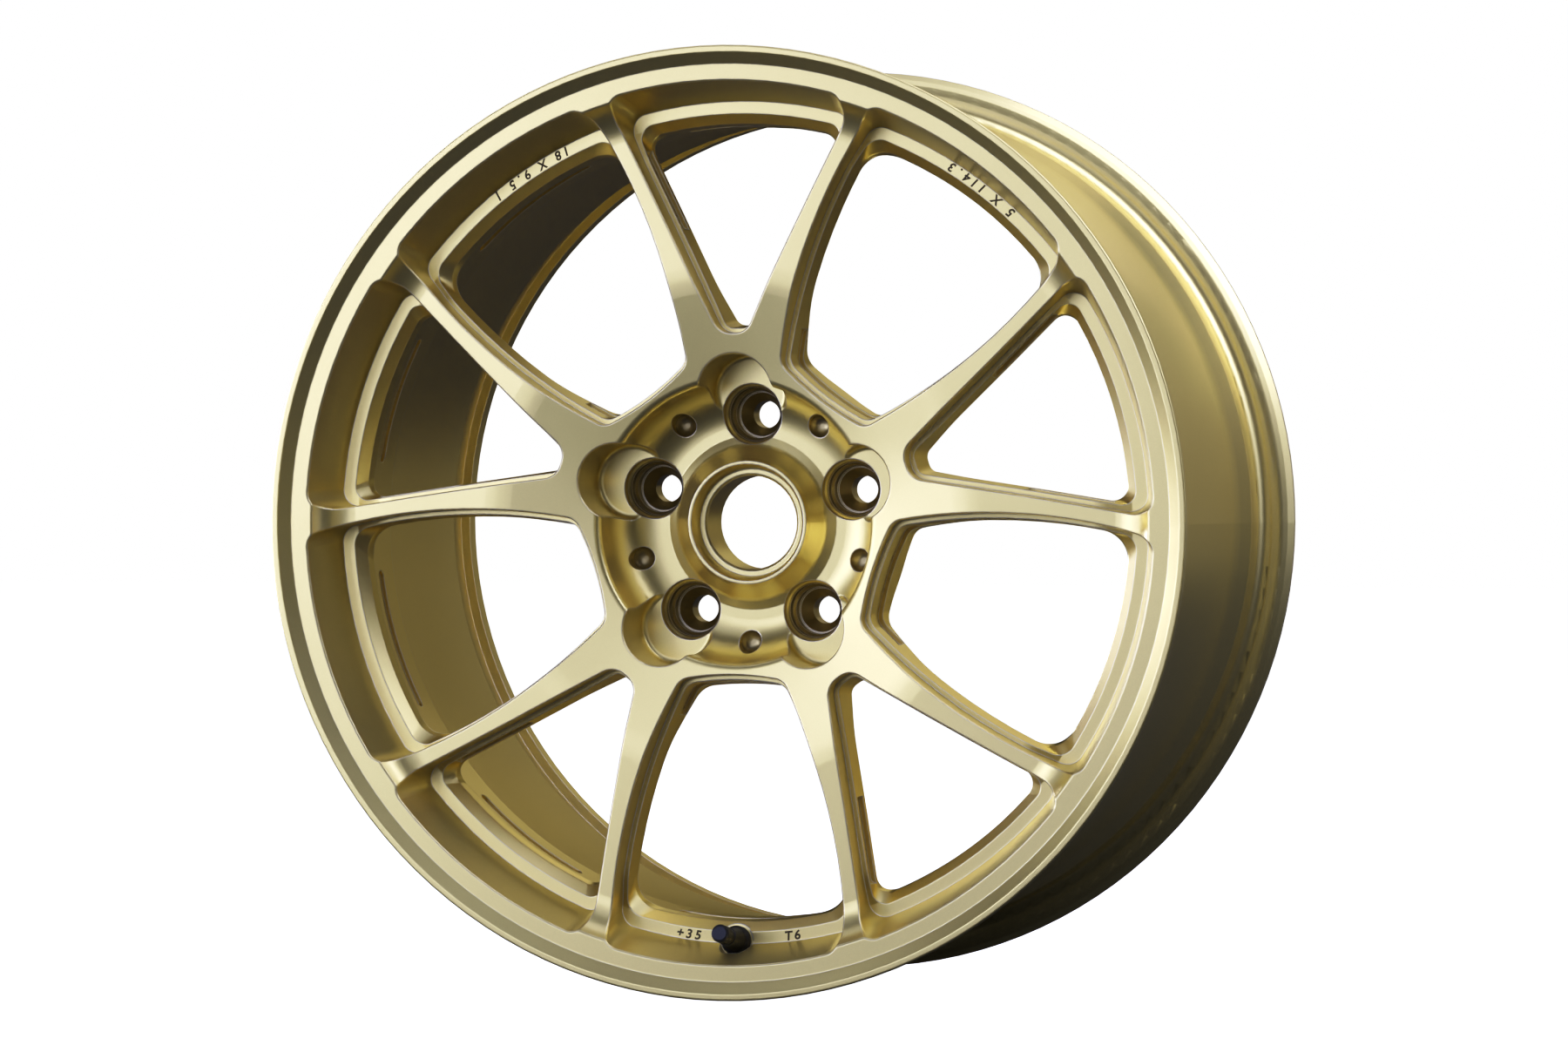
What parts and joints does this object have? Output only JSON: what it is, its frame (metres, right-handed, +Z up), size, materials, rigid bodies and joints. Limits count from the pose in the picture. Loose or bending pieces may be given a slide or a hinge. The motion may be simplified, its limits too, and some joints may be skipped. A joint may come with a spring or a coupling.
{
  "type": "racing wheel rim",
  "caption": "One-piece forged racing wheel with paired spokes, recessed lug seats, a stepped outer ring and a snap-in tyre valve.",
  "frame": {"origin": "centre of the hub mounting face, on the spin axis", "axes": "+Y along the spin axis, inboard towards the car, so the outboard face looks along -Y; +Z up through one lug hole, with the valve at -Z; +X completes the frame"},
  "size_m": [0.497, 0.2625, 0.497],
  "materials": {
    "wheel_paint": "satin champagne gold paint over forged aluminium",
    "valve_rubber": "matte black EPDM",
    "valve_brass": "bare brass",
    "valve_steel": "bare steel",
    "valve_seal": "soft rubber",
    "cap_plastic": "black moulded plastic"
  },
  "bodies": {
    "wheel": {"forged_wheel": "wheel_paint", "valve_rubber_body": "valve_rubber", "valve_stem": "valve_brass", "valve_core_plug": "valve_brass", "valve_core_barrel": "valve_brass", "valve_core_gasket": "valve_seal", "valve_core_spring": "valve_steel"},
    "core_pin": {"valve_core_pin": "valve_steel", "valve_core_cup": "valve_brass", "valve_core_seal": "valve_seal"},
    "cap_lift": {"valve_cap_seal": "valve_seal"},
    "dust_cap": {"valve_cap": "cap_plastic"}
  },
  "joints": [
    {"name": "valve_pin_press", "type": "slide", "parent": "wheel", "child": "core_pin", "axis": [0, 0.9816, -0.1908], "range_m": [0, 0.0012], "stiffness_N_per_m": 600, "springref_m": -0.0008, "deforming": ["valve_core_spring"]},
    {"name": "valve_cap_lift", "type": "slide", "parent": "wheel", "child": "cap_lift", "axis": [0, -0.9816, 0.1908], "range_m": [0, 0.00953]},
    {"name": "valve_cap_turn", "type": "hinge", "parent": "cap_lift", "child": "dust_cap", "pos_m": [0, -0.06125, -0.2194], "axis": [0, -0.9816, 0.1908], "range_deg": [0, 4320]}
  ],
  "couplings": [
    {"joint": "valve_cap_turn", "follows": "valve_cap_lift", "rad_per_m": 7913.3}
  ]
}
